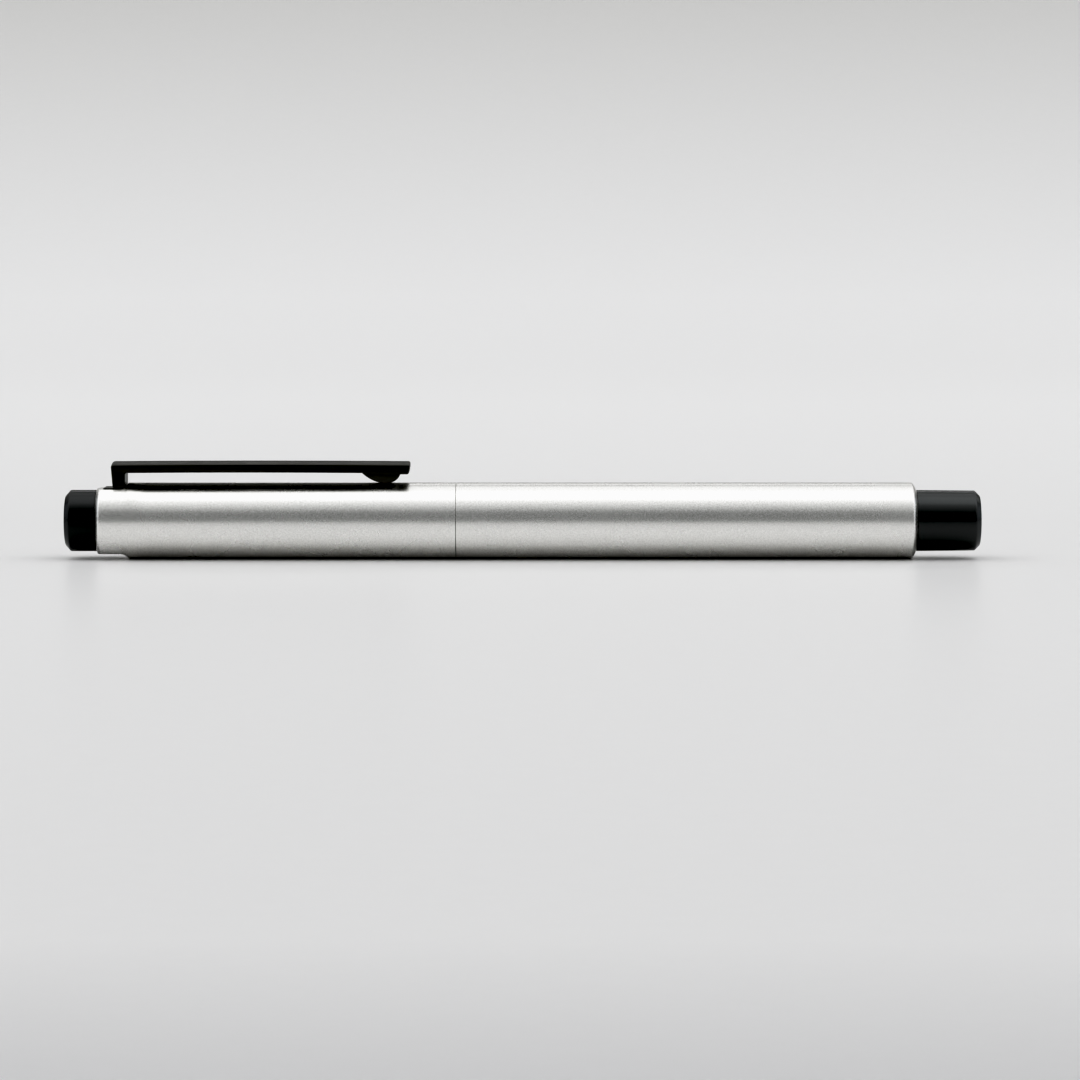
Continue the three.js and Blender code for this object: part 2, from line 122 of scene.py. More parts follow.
def rounded(outline, closed):
    """Outline with each (a, b, radius) corner turned into a round; (a, b) stays sharp."""
    corners = [(Vector(p[:2]), p[2] if len(p) > 2 else 0) for p in outline]
    count = len(corners)
    points = []
    for i, (at, radius) in enumerate(corners):
        if not closed and i in (0, count - 1):
            points.append(at)
        else:
            points += corner(corners[i - 1][0], at, corners[(i + 1) % count][0], radius)
    return points


def rounded_stretch(outline):
    """The rounds of an open outline as plain pairs, without its two end points."""
    return [(p.x, p.y) for p in rounded(outline, False)[1:-1]]


def curve(start, handle_a, handle_b, end, steps=CURVE_STEPS):
    """Points along a cubic curve, without its first."""
    points = []
    for step in range(1, steps + 1):
        t = step / steps
        s = 1 - t
        weights = (s ** 3, 3 * s * s * t, 3 * s * t * t, t ** 3)
        knots = (start, handle_a, handle_b, end)
        points.append(tuple(sum(w * k[axis] for w, k in zip(weights, knots)) for axis in (0, 1)))
    return points


def offset(point, shift):
    """A point moved by a (along the pen, up) shift."""
    return point[0] + shift[0], point[1] + shift[1]


# ---------------------------------------------------------------- materials

WEAR_PATCH_MM = 1.4
WEAR_PATCH_RANGE = (0.3, 1.0)
WEAR_BEND_RANGE = (0.52, 0.62)
TEXTURE_RANGE = (0.3, 0.7)


class Look:
    """A node material: one Principled shader with the texture nodes that drive it."""

    def __init__(self, name, **fixed):
        self.material = bpy.data.materials.new(name)
        self.material.use_nodes = True
        self.tree = self.material.node_tree
        self.shader = self.tree.nodes["Principled BSDF"]
        for socket, value in fixed.items():
            self.shader.inputs[socket.replace("_", " ")].default_value = value
        self.place = self.add("ShaderNodeTexCoord").outputs["Object"]

    def add(self, kind, **settings):
        node = self.tree.nodes.new(kind)
        for key, value in settings.items():
            setattr(node, key, value)
        return node

    def link(self, source, target):
        self.tree.links.new(source, target)

    def noise(self, size_mm, detail=2.0, roughness=0.5, stretch=(1, 1, 1)):
        """Noise with features of about size_mm; stretch lengthens them along an axis."""
        mapping = self.add("ShaderNodeMapping")
        mapping.inputs["Scale"].default_value = [1 / (size_mm * MM * s) for s in stretch]
        texture = self.add("ShaderNodeTexNoise")
        texture.inputs["Scale"].default_value = 1.0
        texture.inputs["Detail"].default_value = detail
        texture.inputs["Roughness"].default_value = roughness
        self.link(self.place, mapping.inputs["Vector"])
        self.link(mapping.outputs["Vector"], texture.inputs["Vector"])
        return texture.outputs["Fac"]

    def remap(self, value, to_range, from_range=TEXTURE_RANGE):
        """Value from a texture, spread over to_range."""
        spread = self.add("ShaderNodeMapRange")
        spread.inputs["From Min"].default_value, spread.inputs["From Max"].default_value = from_range
        spread.inputs["To Min"].default_value, spread.inputs["To Max"].default_value = to_range
        self.link(value, spread.inputs["Value"])
        return spread.outputs["Result"]

    def two_colours(self, factor, dark, light):
        mix = self.add("ShaderNodeMix", data_type="RGBA")
        mix.inputs["A"].default_value = (*dark, 1)
        mix.inputs["B"].default_value = (*light, 1)
        self.link(factor, mix.inputs["Factor"])
        return mix.outputs["Result"]

    def worn_edges(self, colour, edge_colour, amount):
        """Colour that lightens where the surface is sharply convex."""
        bend = self.add("ShaderNodeNewGeometry").outputs["Pointiness"]
        patches = self.remap(self.noise(WEAR_PATCH_MM, detail=3), WEAR_PATCH_RANGE)
        sharp = self.remap(bend, (0, amount), WEAR_BEND_RANGE)
        both = self.add("ShaderNodeMath", operation="MULTIPLY")
        self.link(sharp, both.inputs[0])
        self.link(patches, both.inputs[1])
        mix = self.add("ShaderNodeMix", data_type="RGBA")
        self.link(both.outputs["Value"], mix.inputs["Factor"])
        self.link(colour, mix.inputs["A"])
        mix.inputs["B"].default_value = (*edge_colour, 1)
        return mix.outputs["Result"]

    def colour(self, source):
        self.link(source, self.shader.inputs["Base Color"])

    def roughness(self, source):
        self.link(source, self.shader.inputs["Roughness"])

    def bump(self, height, depth_mm, strength):
        node = self.add("ShaderNodeBump")
        node.inputs["Distance"].default_value = depth_mm * MM
        node.inputs["Strength"].default_value = strength
        self.link(height, node.inputs["Height"])
        self.link(node.outputs["Normal"], self.shader.inputs["Normal"])


def grained(name, grain, dark, light, roughness, bump, wear=None, clouds=None, **fixed):
    """Finish whose grain drives colour and bump.

    grain and clouds are settings of a noise, bump is (depth in mm, strength), and wear is
    (edge colour, amount). Roughness follows the clouds, or the grain where there are none.
    """
    look = Look(name, **fixed)
    pattern = look.noise(**grain)
    colour = look.two_colours(look.remap(pattern, (0, 1)), dark, light)
    if wear:
        colour = look.worn_edges(colour, *wear)
    look.colour(colour)
    look.roughness(look.remap(look.noise(**clouds) if clouds else pattern, roughness))
    look.bump(pattern, *bump)
    return look.material


def grey(value):
    return (value, value, value)


def satin_aluminium():
    """Bead-blasted, clear anodised: fine pits all over and faint clouding."""
    return grained(
        "satin_aluminium", Metallic=1.0,
        grain=dict(size_mm=0.2, detail=3, roughness=0.65),
        dark=(0.706, 0.702, 0.682), light=(0.926, 0.921, 0.898),
        wear=(grey(0.93), 0.6), clouds=dict(size_mm=7, detail=3), roughness=(0.25, 0.29), bump=(0.003, 0.3),
    )


def black_anodised(name, tone, gloss):
    """Black turned aluminium; tone is its mean reflectance and gloss its specular level."""
    return grained(
        name, IOR=1.7, Specular_IOR_Level=gloss, Specular_Tint=(0.96, 0.99, 1.0, 1),
        grain=dict(size_mm=0.13, detail=3, roughness=0.65), dark=grey(0.75 * tone), light=grey(1.25 * tone),
        wear=(grey(0.1), 0.4), clouds=dict(size_mm=5, detail=3), roughness=(0.22, 0.27), bump=(0.006, 0.3),
    )


def black_coating():
    return grained(
        "black_coating", Specular_IOR_Level=1.0, Specular_Tint=(1.0, 0.988, 0.935, 1),
        grain=dict(size_mm=0.1, detail=3, roughness=0.6),
        dark=(0.006, 0.006, 0.0058), light=(0.013, 0.0129, 0.0124), wear=((0.075, 0.074, 0.07), 0.6),
        clouds=dict(size_mm=4, detail=3), roughness=(0.32, 0.40), bump=(0.01, 0.3),
    )


def black_plastic():
    return grained(
        "black_plastic",
        grain=dict(size_mm=0.22, detail=4, roughness=0.6), dark=grey(0.010), light=grey(0.019),
        wear=(grey(0.05), 0.5), clouds=dict(size_mm=2, detail=3), roughness=(0.38, 0.48), bump=(0.02, 0.35),
    )


def rubber():
    return grained(
        "rubber",
        grain=dict(size_mm=0.15, detail=4, roughness=0.7), dark=grey(0.012), light=grey(0.024),
        roughness=(0.62, 0.8), bump=(0.015, 0.4),
    )


MARKS_ROUND_AXIS = (1, 40, 40)


def steel():
    """Ground and polished, with fine marks round the axis."""
    return grained(
        "steel", Metallic=1.0,
        grain=dict(size_mm=0.03, stretch=MARKS_ROUND_AXIS), dark=(0.56, 0.57, 0.58), light=(0.70, 0.71, 0.72),
        roughness=(0.16, 0.26), bump=(0.002, 0.3),
    )


def brass():
    """Turned, with fine marks round the axis."""
    return grained(
        "brass", Metallic=1.0,
        grain=dict(size_mm=0.04, stretch=MARKS_ROUND_AXIS), dark=(0.60, 0.43, 0.20), light=(0.74, 0.56, 0.29),
        roughness=(0.2, 0.32), bump=(0.003, 0.3),
    )


def white_plastic():
    return grained(
        "white_plastic",
        grain=dict(size_mm=0.4, detail=3), dark=(0.78, 0.77, 0.73), light=(0.84, 0.83, 0.79),
        roughness=(0.34, 0.44), bump=(0.01, 0.2),
    )


def clear_plastic():
    return grained(
        "clear_plastic", Transmission_Weight=0.75, IOR=1.49,
        grain=dict(size_mm=3), dark=(0.74, 0.78, 0.79), light=(0.82, 0.85, 0.86),
        roughness=(0.10, 0.18), bump=(0.03, 0.1),
    )


LOOKS = {
    "satin_aluminium": satin_aluminium(),
    "black_anodised": black_anodised("black_anodised", tone=0.004, gloss=0.72),
    "black_coating": black_coating(),
    "black_plastic": black_plastic(),
    "rubber": rubber(),
    "steel": steel(),
    "brass": brass(),
    "white_plastic": white_plastic(),
    "clear_plastic": clear_plastic(),
}
# Painted shade: the finial gets a dimmer copy of the knob's black finish, lower in tone and gloss, so its
# highlight reads darker.
FINIAL_SHADED_COPY = black_anodised("black_anodised_finial_painted_shade", tone=0.003, gloss=0.50)


# ---------------------------------------------------------------- meshes

def node_piece(node, mesh_data, sharp_degrees=SHARP_DEGREES):
    """Cleans a mesh and makes it the piece that stands for one node, with its body and finish."""
    slot_name = SLOT_OF_NODE[node]
    bmesh.ops.remove_doubles(mesh_data, verts=mesh_data.verts, dist=MERGE_DISTANCE)
    bmesh.ops.dissolve_degenerate(mesh_data, edges=mesh_data.edges, dist=EDGE_TOO_SHORT)
    bmesh.ops.recalc_face_normals(mesh_data, faces=mesh_data.faces)
    mesh = bpy.data.meshes.new(node + "_piece")
    mesh_data.to_mesh(mesh)
    mesh_data.free()
    mesh.shade_smooth()
    mesh.set_sharp_from_angle(angle=math.radians(sharp_degrees))
    # The cap's finial takes the dimmer copy with painted shade; every other piece takes its slot's finish.
    mesh.materials.append(FINIAL_SHADED_COPY if node == "cap_finial" else LOOKS[slot_name])
    piece = bpy.data.objects.new(node + "_piece", mesh)
    bpy.context.scene.collection.objects.link(piece)
    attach(piece, BODY_OF_NODE[node])
    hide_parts(node)
    return piece


def new_point(mesh_data, x, y, height):
    """Vertex at a station, across and above the axis, all in mm."""
    return mesh_data.verts.new((x * MM, y * MM, (height + AXIS_Z) * MM))


def join_rings(mesh_data, rings):
    """Quads between each ring of vertices and the next."""
    for first, second in zip(rings, rings[1:]):
        count = len(first)
        for i in range(count):
            j = (i + 1) % count
            mesh_data.faces.new((first[i], first[j], second[j], second[i]))


def section_angles(radius, flat):
    """Angle and reach of each point round one section, from the top; flats cut it straight."""
    side_steps = SEGMENTS // 2 - FLAT_STEPS
    half = math.acos(flat / radius) if flat <= radius else PLAIN_TOP_HALF
    points = []
    for turn in (0, math.pi):
        for step in range(FLAT_STEPS):
            t = 2 * step / FLAT_STEPS - 1
            if flat <= radius:
                across = math.tan(half) * t
                points.append((turn + math.atan(across), flat * math.hypot(1, across)))
            else:
                points.append((turn + half * t, radius))
        for step in range(side_steps):
            t = step / side_steps
            points.append((turn + half + (math.pi - 2 * half) * t, radius))
    return points


def turned_mesh(rows, closed):
    """Mesh through (station, radius, flat height) rows; a row on the axis is one point."""
    mesh_data = bmesh.new()
    rings = []
    for x, radius, flat in rows:
        if radius < TINY:
            rings.append([new_point(mesh_data, x, 0, 0)])
        else:
            rings.append([
                new_point(mesh_data, x, reach * math.sin(angle), reach * math.cos(angle))
                for angle, reach in section_angles(radius, flat)
            ])
    if closed:
        rings.append(rings[0])
    for first, second in zip(rings, rings[1:]):
        count = max(len(first), len(second))
        for i in range(count):
            j = (i + 1) % count
            if len(first) == 1:
                mesh_data.faces.new((first[0], second[i], second[j]))
            elif len(second) == 1:
                mesh_data.faces.new((first[i], second[0], first[j]))
            else:
                mesh_data.faces.new((first[i], second[i], second[j], first[j]))
    return mesh_data


def lathe_part(node, outline, sharp_degrees=SHARP_DEGREES):
    """Turned piece from (station, radius, corner round) points that start and end on the axis, or a ring."""
    closed = outline[0][1] > 0
    rows = [(p.x, p.y, NO_FLAT) for p in rounded(outline, closed)]
    node_piece(node, turned_mesh(rows, closed), sharp_degrees)


def sleeve(node, bore_r, bore_round, outer_round):
    """Plain ring or short tube that fills its node's box."""
    start, end, radius = span(node)
    lathe_part(node, [
        (start, bore_r, bore_round),
        (start, radius, outer_round),
        (end, radius, outer_round),
        (end, bore_r, bore_round),
    ])


# ---------------------------------------------------------------- tubes

EDGE = 0.05
CORNER_DEPTH = 0.8
CORNER_FACE_R = 4.63
CORNER_FACE_HANDLE = 0.22
CORNER_SIDE_HANDLE = 0.3
CORNER_STEPS = 20
CAP_BORE_R = 4.9
CAP_BORE_END = 29.27
SEAL_BORE_R = 4.1
SEAL_BORE_END = 50.47
END_BORE_R = 3.4
CAP_SHARP_DEGREES = 20
FLAT_Z = 4.93
FLAT_LENGTH = 3.8
RUN_OUT_R = 1.185
RUN_OUT_STEPS = 16
PAST_RUN_OUT = 8
BARREL_BORE_R = 4.7
KNOB_BORE_R = 3.75
KNOB_BORE_DEPTH = 6.25


def end_corner(face_x, inward, radius):
    """The softened outer corner of a tube, from its end face inwards."""
    return curve(
        (face_x, CORNER_FACE_R),
        (face_x, CORNER_FACE_R + CORNER_FACE_HANDLE),
        (face_x + inward * (CORNER_DEPTH - CORNER_SIDE_HANDLE), radius),
        (face_x + inward * CORNER_DEPTH, radius),
        CORNER_STEPS,
    )


def flat_height(x, cap_start):
    """Height of the milled flats at a station: level, then the cutter's quarter-round run-out."""
    past = x - (cap_start + FLAT_LENGTH)
    if past <= 0:
        return FLAT_Z
    if past >= RUN_OUT_R:
        return NO_FLAT
    return FLAT_Z + RUN_OUT_R - math.sqrt(RUN_OUT_R ** 2 - past ** 2)


def with_flats(points, cap_start, radius):
    """Rows of the outer part of the cap, with the stations where its flats begin and run out."""
    depth_at_surface = FLAT_Z + RUN_OUT_R - radius
    last_angle = math.acos(depth_at_surface / RUN_OUT_R)
    run_out = [
        (cap_start + FLAT_LENGTH + RUN_OUT_R * math.sin(last_angle * step / RUN_OUT_STEPS), radius)
        for step in range(RUN_OUT_STEPS + 1)
    ]
    rows = []
    for x, r in points + run_out:
        flat = flat_height(x, cap_start)
        rows.append((x, r, flat if flat < r + TINY else NO_FLAT))
    apex_x, apex_r, _ = rows[-1]
    rows[-1] = (apex_x, apex_r, apex_r)
    first_cut = next(i for i, row in enumerate(rows) if row[2] < NO_FLAT)
    x0, r0, _ = rows[first_cut - 1]
    x1, r1, _ = rows[first_cut]
    t = (FLAT_Z - r0) / (r1 - r0)
    rows.insert(first_cut, (x0 + (x1 - x0) * t, FLAT_Z, FLAT_Z))
    return rows


def cap_tube():
    """Tube with two opposed milled flats at its closed end and a stepped bore."""
    start, end, radius = span("cap_tube")
    outer = [(start, CORNER_FACE_R)] + end_corner(start, 1, radius)
    rows = with_flats(outer, start, radius)
    inner = rounded([
        (start + PAST_RUN_OUT, radius),
        (end, radius, EDGE),
        (end, CAP_BORE_R, EDGE),
        (end - CAP_BORE_END, CAP_BORE_R, EDGE),
        (end - CAP_BORE_END, SEAL_BORE_R, EDGE),
        (end - SEAL_BORE_END, SEAL_BORE_R, EDGE),
        (end - SEAL_BORE_END, END_BORE_R, EDGE),
        (start, END_BORE_R),
    ], False)
    rows += [(p.x, p.y, NO_FLAT) for p in inner]
    node_piece("cap_tube", turned_mesh(rows, True), CAP_SHARP_DEGREES)


def barrel_tube():
    start, end, radius = span("barrel_tube")
    lathe_part("barrel_tube", [
        (start, BARREL_BORE_R, EDGE),
        (start, radius, EDGE),
        *end_corner(end, -1, radius)[::-1],
        (end, CORNER_FACE_R),
        (end, KNOB_BORE_R, EDGE),
        (end - KNOB_BORE_DEPTH, KNOB_BORE_R, EDGE),
        (end - KNOB_BORE_DEPTH, BARREL_BORE_R, EDGE),
    ])


# ---------------------------------------------------------------- end pieces

END_CHAMFER = 0.8
CHAMFER_ROUND = 0.35
END_FACE_R = 3.8
FINIAL_SPIGOT = 2.02
FINIAL_PLAY = 0.1
KNOB_LENGTH = 9.73
KNOB_END_R = 4.6
KNOB_PLAY = 0.15
KNOB_HOLLOW = 1.73
KNOB_HOLLOW_R = 2.4
RING_GROOVE_R = 3.15
GROOVE_PLAY = 0.05
O_RING_STEPS = 20
O_RING_SHARP_DEGREES = 80


def cap_finial():
    start, end, radius = span("cap_finial")
    shoulder = end - FINIAL_SPIGOT
    spigot_r = END_BORE_R - FINIAL_PLAY
    lathe_part("cap_finial", [
        (start, 0),
        (start, END_FACE_R, CHAMFER_ROUND),
        (start + END_CHAMFER, radius, CHAMFER_ROUND),
        (shoulder, radius, EDGE),
        (shoulder, spigot_r, 0),
        (end, spigot_r, 0.2),
        (end, 0),
    ])


def rear_knob():
    """Knob with a hollow spigot that carries a rubber ring in a groove."""
    start, end, radius = span("rear_knob")
    shoulder = end - KNOB_LENGTH
    spigot_r = KNOB_BORE_R - KNOB_PLAY
    ring_start, ring_end, _ = span("rear_knob_ring")
    lathe_part("rear_knob", [
        (shoulder + KNOB_HOLLOW, 0),
        (shoulder + KNOB_HOLLOW, KNOB_HOLLOW_R, 0.3),
        (start, KNOB_HOLLOW_R, 0.1),
        (start, spigot_r, 0.3),
        (ring_start - GROOVE_PLAY, spigot_r, EDGE),
        (ring_start - GROOVE_PLAY, RING_GROOVE_R, EDGE),
        (ring_end + GROOVE_PLAY, RING_GROOVE_R, EDGE),
        (ring_end + GROOVE_PLAY, spigot_r, EDGE),
        (shoulder, spigot_r, 0),
        (shoulder, radius, EDGE),
        (end - END_CHAMFER, KNOB_END_R, CHAMFER_ROUND),
        (end, END_FACE_R, CHAMFER_ROUND),
        (end, 0),
    ])


def o_ring(node, inner_radius):
    """Ring of round section that fills its node's box."""
    start, end, outer = span(node)
    middle = (start + end) / 2
    centre_r = (inner_radius + outer) / 2
    outline = []
    for step in range(O_RING_STEPS):
        angle = 2 * math.pi * step / O_RING_STEPS
        outline.append((
            middle - (end - start) / 2 * math.cos(angle),
            centre_r + (outer - inner_radius) / 2 * math.sin(angle),
        ))
    lathe_part(node, outline, O_RING_SHARP_DEGREES)


# ---------------------------------------------------------------- clip

CLIP_SLANT = 0.3
CLIP_POST = 2.2
CLIP_ARM_BELOW_TOP = 1.75
CLIP_TIP_BELOW_TOP = 1.96
CLIP_BOW = 0.09
CLIP_BOW_STEPS = 30
CLIP_UNDER_HANDLE = 12
CLIP_OVER_HANDLE = 14
CLIP_OVER_RISE = 0.03
CLIP_FOOT_START = 7.3
CLIP_FOOT_LOW = 3.75
CLIP_FOOT_END = 1.45
CLIP_FOOT_ABOVE_BASE = 0.73
TOE = (0.07, -0.1)
TOE_HANDLE = (0.9, -0.82)
FOOT_HANDLE_TO_TOE = 2.15
FOOT_HANDLE_TO_HEEL = 1.1
HEEL_HANDLE = (-0.35, 0.5)
HEEL = (-0.07, -0.04)
CLIP_INNER_ROUND = 0.3
CLIP_NOSE_SLANT = 0.2
ALONG_ARM = 3
ALONG_TOP = (20, 0.01)
CLIP_BACK_ROUND = 0.45
CLIP_NOSE_ROUND = 0.25
CLIP_CROWN = 0.45
CROWN_START_BELOW_TOP = 0.8
CROWN_BLEND = 0.4
CLIP_EDGE = 0.13
CLIP_EDGE_STEPS = 4
CLIP_WIDTH_STEPS = 14
CLIP_SHARP_DEGREES = 50
FLAT_FACE_WEIGHT = 90


def clip_outline():
    """Side view of the clip: post, slightly bowed arm, and the foot that rests on the cap.

    Each stretch of rounds has a first and a last point that only give its direction.
    """
    start, end, _ = span("clip")
    low, top = heights("clip")
    arm = top - CLIP_ARM_BELOW_TOP
    tip = top - CLIP_TIP_BELOW_TOP
    crest = top - CLIP_BOW
    inner = start + CLIP_POST
    foot_start = end - CLIP_FOOT_START
    foot_low = (end - CLIP_FOOT_LOW, low + CLIP_FOOT_ABOVE_BASE)
    foot_end = end - CLIP_FOOT_END
    toe = offset((foot_start, arm), TOE)
    heel = offset((foot_end, tip), HEEL)
    post = rounded_stretch([
        (start, crest),
        (start + CLIP_SLANT, low, 0.15),
        (inner, low, 0.35),
        (inner, arm, CLIP_INNER_ROUND),
        (inner + ALONG_ARM, arm),
    ])
    under = curve(
        (inner + CLIP_INNER_ROUND, arm),
        (inner + CLIP_UNDER_HANDLE, arm + CLIP_BOW),
        (foot_start - CLIP_UNDER_HANDLE, arm + CLIP_BOW),
        (foot_start, arm),
        CLIP_BOW_STEPS,
    )
    foot_front = curve(
        toe,
        offset((foot_start, arm), TOE_HANDLE),
        (foot_start + FOOT_HANDLE_TO_TOE, foot_low[1]),
        foot_low,
    )
    foot_rear = curve(
        foot_low,
        offset(foot_low, (FOOT_HANDLE_TO_HEEL, 0)),
        offset((foot_end, foot_low[1]), HEEL_HANDLE),
        heel,
    )
    nose = rounded_stretch([
        heel,
        (foot_end, tip, 0.16),
        (end - CLIP_NOSE_SLANT, tip, 0.35),
        (end, crest, CLIP_NOSE_ROUND),
        offset((start, crest), ALONG_TOP),
    ])
    over = curve(
        (end - CLIP_NOSE_ROUND, crest),
        (end - CLIP_OVER_HANDLE, top + CLIP_OVER_RISE),
        (start + CLIP_OVER_HANDLE, top + CLIP_OVER_RISE),
        (start + CLIP_BACK_ROUND, crest),
        CLIP_BOW_STEPS,
    )
    back = rounded_stretch([
        (start + ALONG_ARM, crest),
        (start, crest, CLIP_BACK_ROUND),
        (start + CLIP_SLANT, low),
    ])
    return post + under + [toe] + foot_front + foot_rear + nose + over[:-1] + back


def inset(outline, depth):
    """Closed outline moved inwards by depth, each point along the mean of its sides' normals."""
    moved = []
    count = len(outline)
    for i in range(count):
        at = Vector(outline[i])
        before = (at - Vector(outline[i - 1])).normalized()
        after = (Vector(outline[(i + 1) % count]) - at).normalized()
        normal = Vector((-before.y - after.y, before.x + after.x)).normalized()
        moved.append(at + normal * depth)
    return moved


def clip():
    """The side outline carried across the width, with rounded edges and a crowned upper face."""
    outline = clip_outline()
    low_corner, high_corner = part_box("clip")
    half = (high_corner[1] - low_corner[1]) / 2 / MM
    crown_start = heights("clip")[1] - CROWN_START_BELOW_TOP
    flat_half = half - CLIP_EDGE
    rows = []
    for step in range(CLIP_EDGE_STEPS):
        angle = math.pi / 2 * step / CLIP_EDGE_STEPS
        rows.append((-flat_half - CLIP_EDGE * math.cos(angle), CLIP_EDGE * (1 - math.sin(angle))))
    for step in range(CLIP_WIDTH_STEPS + 1):
        rows.append((flat_half * (2 * step / CLIP_WIDTH_STEPS - 1), 0))
    rows += [(-y, depth) for y, depth in reversed(rows[:CLIP_EDGE_STEPS])]
    mesh_data = bmesh.new()
    rings = []
    for y, depth in rows:
        ring = []
        for point in inset(outline, depth):
            lift = min(1.0, max(0.0, (point.y - crown_start) / CROWN_BLEND))
            ring.append(new_point(mesh_data, point.x, y, point.y - CLIP_CROWN * lift * (y / half) ** 2))
        rings.append(ring)
    join_rings(mesh_data, rings)
    flat_side = tessellate_polygon([[Vector((vert.co.x / MM, vert.co.z / MM, 0)) for vert in rings[0]]])
    for corners in flat_side:
        mesh_data.faces.new([rings[0][i] for i in corners])
        mesh_data.faces.new([rings[-1][i] for i in reversed(corners)])
    even_shading(node_piece("clip", mesh_data, CLIP_SHARP_DEGREES))


def even_shading(piece):
    """Lets large flat faces rule the shading of the rounds beside them."""
    weighted = piece.modifiers.new("even_shading", "WEIGHTED_NORMAL")
    weighted.keep_sharp = True
    weighted.weight = FLAT_FACE_WEIGHT


PLATE_REAR_RISE = 0.165
PLATE_REAR_STEPS = 4
PLATE_SHARP_DEGREES = 30
PLATE_BEVEL_ABOVE = math.radians(50)


def clip_base_plate():
    """Thin plate whose rear end follows the flat's run-out, with its edges broken."""
    low_corner, high_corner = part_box("clip_base_plate")
    start = low_corner[0] / MM
    end = high_corner[0] / MM
    half = high_corner[1] / MM
    z0, z1 = heights("clip_base_plate")
    flat_end = span("cap_tube")[0] + FLAT_LENGTH
    outline = [(start, z1), (start, z0)]
    for step in range(PLATE_REAR_STEPS + 1):
        t = step / PLATE_REAR_STEPS
        outline.append((flat_end + (end - flat_end) * t, z0 + PLATE_REAR_RISE * t * t))
    outline.append((end, z1))
    mesh_data = bmesh.new()
    rings = [[new_point(mesh_data, x, y, z) for x, z in outline] for y in (-half, half)]
    join_rings(mesh_data, rings)
    mesh_data.faces.new(rings[0])
    mesh_data.faces.new(rings[1][::-1])
    piece = node_piece("clip_base_plate", mesh_data, PLATE_SHARP_DEGREES)
    bevel = piece.modifiers.new("edges", "BEVEL")
    bevel.width = EDGE * MM
    bevel.segments = 2
    bevel.limit_method = "ANGLE"
    bevel.angle_limit = PLATE_BEVEL_ABOVE


# ---------------------------------------------------------------- front section and nib

FEED_BORE_R = 2.6
SECTION_NOSE_R = 3.7
SECTION_NOSE = 0.5
SECTION_CYLINDER = 14
RING_SEAT_DEPTH = 0.45
CARTRIDGE_BORE_R = 3.5
CARTRIDGE_BORE_DEPTH = 9.5
GRIP_RINGS = 9
GRIP_START = 4
GRIP_PITCH = 1.5
GRIP_HALF_WIDTH = 0.2
GRIP_GROOVE = 0.16


def grip_section():
    """Tapered grip with shallow rings, a groove for the cap's ring, and a hollow rear end."""
    start, end, radius = span("grip_section")
    ring_start, ring_end, _ = span("section_o_ring")
    taper_end = end - SECTION_CYLINDER

    def surface(x):
        t = (x - start - SECTION_NOSE) / (taper_end - start - SECTION_NOSE)
        return SECTION_NOSE_R + (radius - SECTION_NOSE_R) * t

    outline = [(start, FEED_BORE_R, 0.1), (start, SECTION_NOSE_R, 0.35)]
    for index in range(GRIP_RINGS):
        x = start + GRIP_START + index * GRIP_PITCH
        outline += [
            (x - GRIP_HALF_WIDTH, surface(x - GRIP_HALF_WIDTH), 0.08),
            (x, surface(x) - GRIP_GROOVE, 0.12),
            (x + GRIP_HALF_WIDTH, surface(x + GRIP_HALF_WIDTH), 0.08),
        ]
    outline += [
        (taper_end, radius, 3),
        (ring_start - GROOVE_PLAY, radius, EDGE),
        (ring_start - GROOVE_PLAY, radius - RING_SEAT_DEPTH, 0.1),
        (ring_end + GROOVE_PLAY, radius - RING_SEAT_DEPTH, 0.1),
        (ring_end + GROOVE_PLAY, radius, EDGE),
        (end, radius, 0.3),
        (end, CARTRIDGE_BORE_R, 0.2),
        (end - CARTRIDGE_BORE_DEPTH, CARTRIDGE_BORE_R, 0.1),
        (end - CARTRIDGE_BORE_DEPTH, FEED_BORE_R, 0.1),
    ]
    lathe_part("grip_section", outline)


HOLDER_COLLAR = 1.15
HOLDER_FRONT = 9.45
HOLDER_TIP = 1.6
HOLDER_TIP_R = 1.4
HOLDER_TIP_BASE_R = 1.62
CONE_START = 1.8
CONE_START_R = 1.85
CONE_END_GAP = 0.1
CONE_END_R = 3.15
HOLDER_PLAY = 0.12
CHAMBER_START = 2.5
CHAMBER_R = 1.8
NIB_BORE_R = 0.75


def nib_holder():
    """Cone with a stepped nose and a collar that seats on the grip section."""
    start, end, radius = span("nib_holder")
    shoulder = start + HOLDER_FRONT
    collar = shoulder - HOLDER_COLLAR
    spigot_r = FEED_BORE_R - HOLDER_PLAY
    lathe_part("nib_holder", [
        (start, NIB_BORE_R, 0.05),
        (start, HOLDER_TIP_R, 0.12),
        (start + HOLDER_TIP, HOLDER_TIP_BASE_R, 0.1),
        (start + CONE_START, CONE_START_R, 0.1),
        (collar - CONE_END_GAP, CONE_END_R, 0.15),
        (collar, radius, 0.12),
        (shoulder, radius, EDGE),
        (shoulder, spigot_r, 0),
        (end, spigot_r, 0.2),
        (end, CHAMBER_R, 0.1),
        (start + CHAMBER_START, CHAMBER_R, 0.1),
        (start + CHAMBER_START, NIB_BORE_R, 0.05),
    ])


NIB_TUBE_PLAY = 0.02
NIB_TUBE_WALL = 0.11
NIB_TIP_R = 0.42
NIB_STEP = 0.5
NIB_STEP_R = 0.5
NIB_COLLAR_START = 0.8


